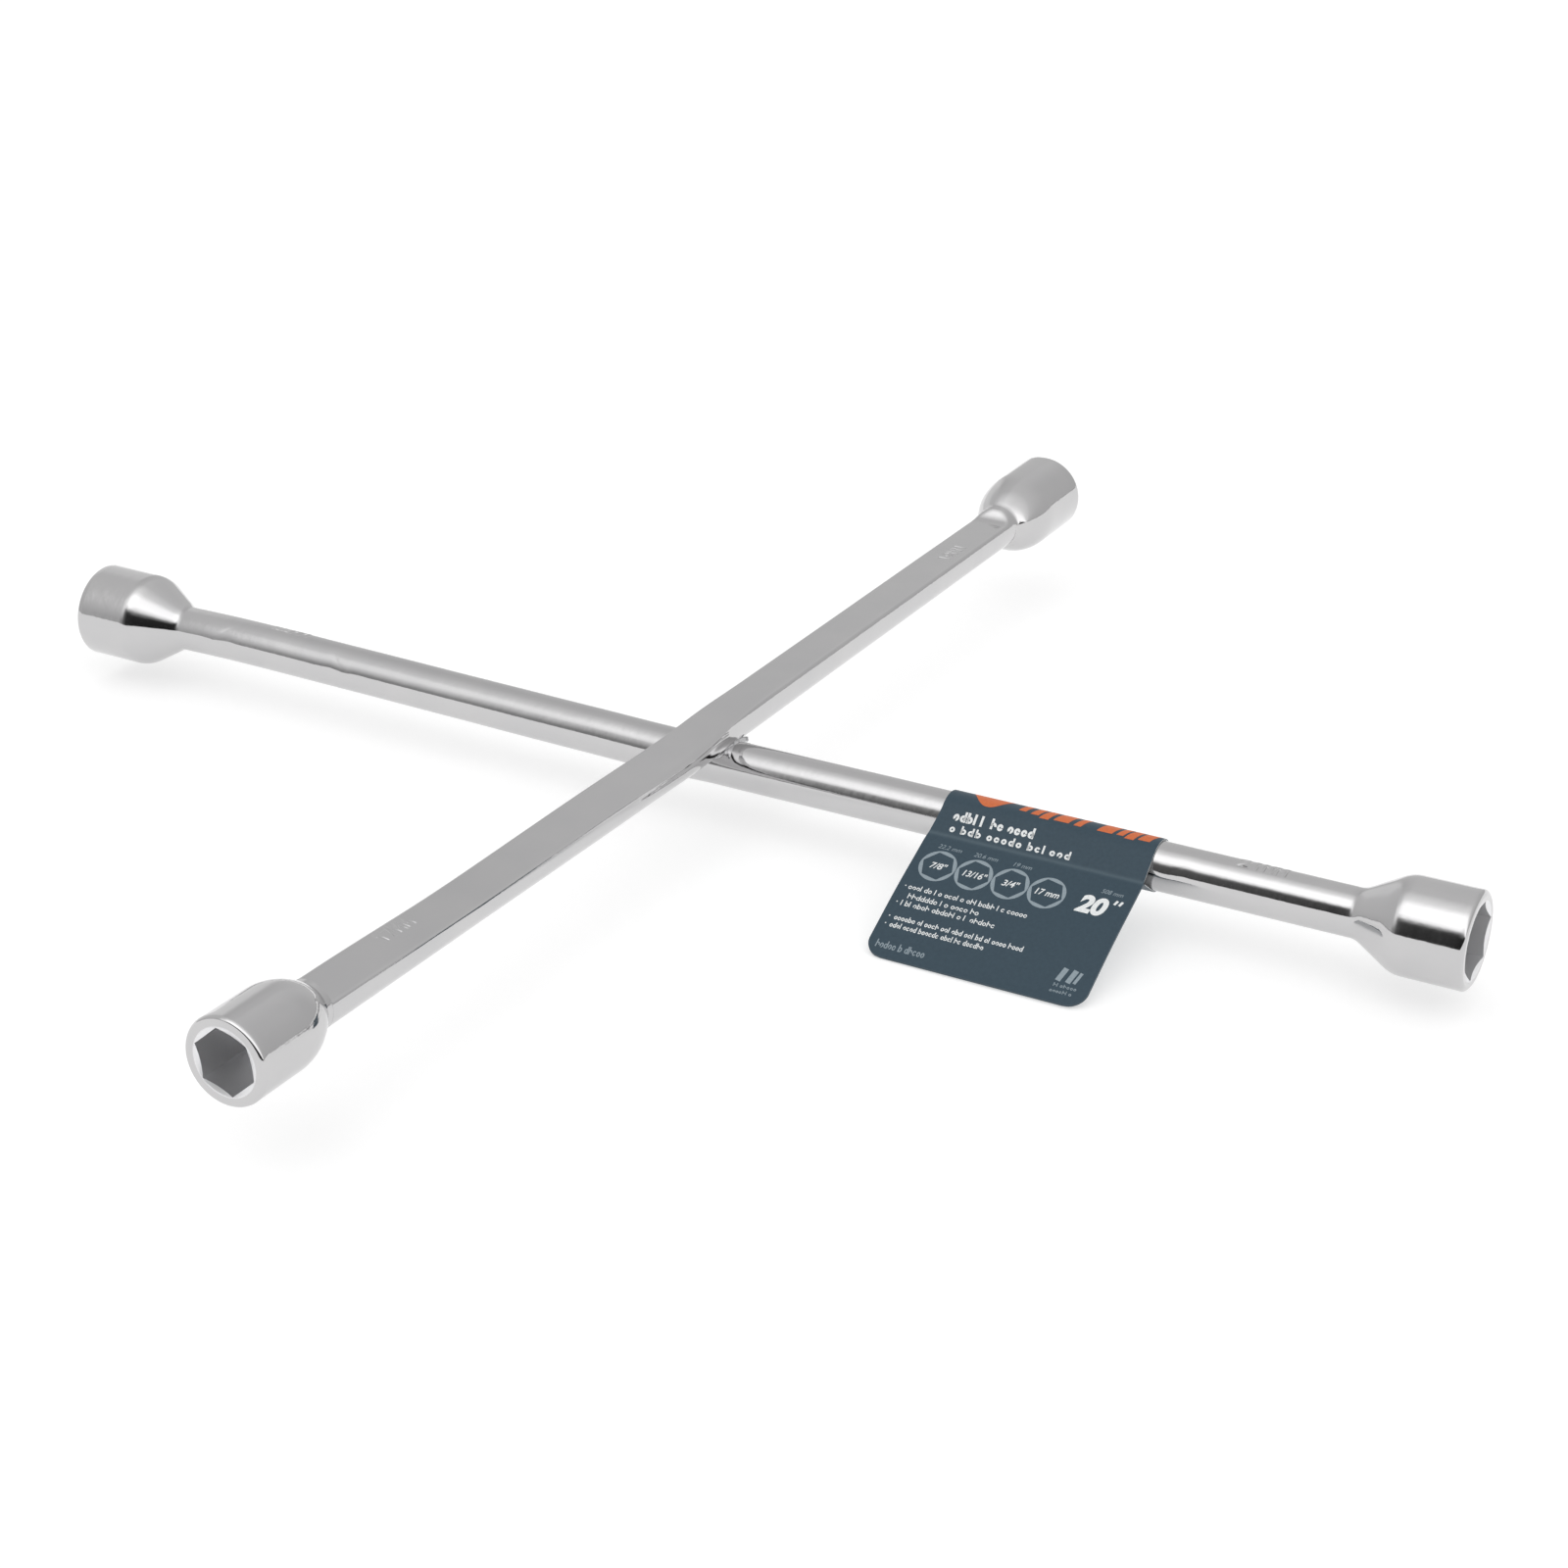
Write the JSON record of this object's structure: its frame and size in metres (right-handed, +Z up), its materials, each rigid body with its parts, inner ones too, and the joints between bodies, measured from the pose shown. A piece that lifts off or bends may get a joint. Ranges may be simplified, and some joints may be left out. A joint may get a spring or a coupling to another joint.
{
  "type": "lug wrench",
  "caption": "Cross-shaped wheel wrench: two forged chromed bars welded at the middle, a hexagon socket on each end, and a folded card on one arm.",
  "frame": {"origin": "midway along both bars, level with the lowest point, which is the lower edge of the card's flap", "axes": "+X along the lower bar to its 13/16 in socket, +Y along the upper bar to its 3/4 in socket, +Z up"},
  "size_m": [0.5082, 0.5082, 0.052],
  "materials": {
    "chrome_plate": "polished",
    "weld_metal": "polished over rough metal",
    "card_board": "printed, semi-matt"
  },
  "bodies": {
    "wrench": {"over_bar": "chrome_plate", "under_bar": "chrome_plate", "weld_flash": "weld_metal", "flash_tongue": "weld_metal"},
    "sleeve": {"card_sleeve": "card_board"},
    "flap": {"card_flap": "card_board"}
  },
  "joints": [
    {"name": "card_slide", "type": "slide", "parent": "wrench", "child": "sleeve", "axis": [1, 0, 0.0047], "range_m": [-0.069, 0.055]},
    {"name": "crease_fold", "type": "hinge", "parent": "sleeve", "child": "flap", "pos_m": [0.1193, -0.0133, 0.02292], "axis": [1, 0, 0.0047], "range_deg": [-75, 60]}
  ]
}
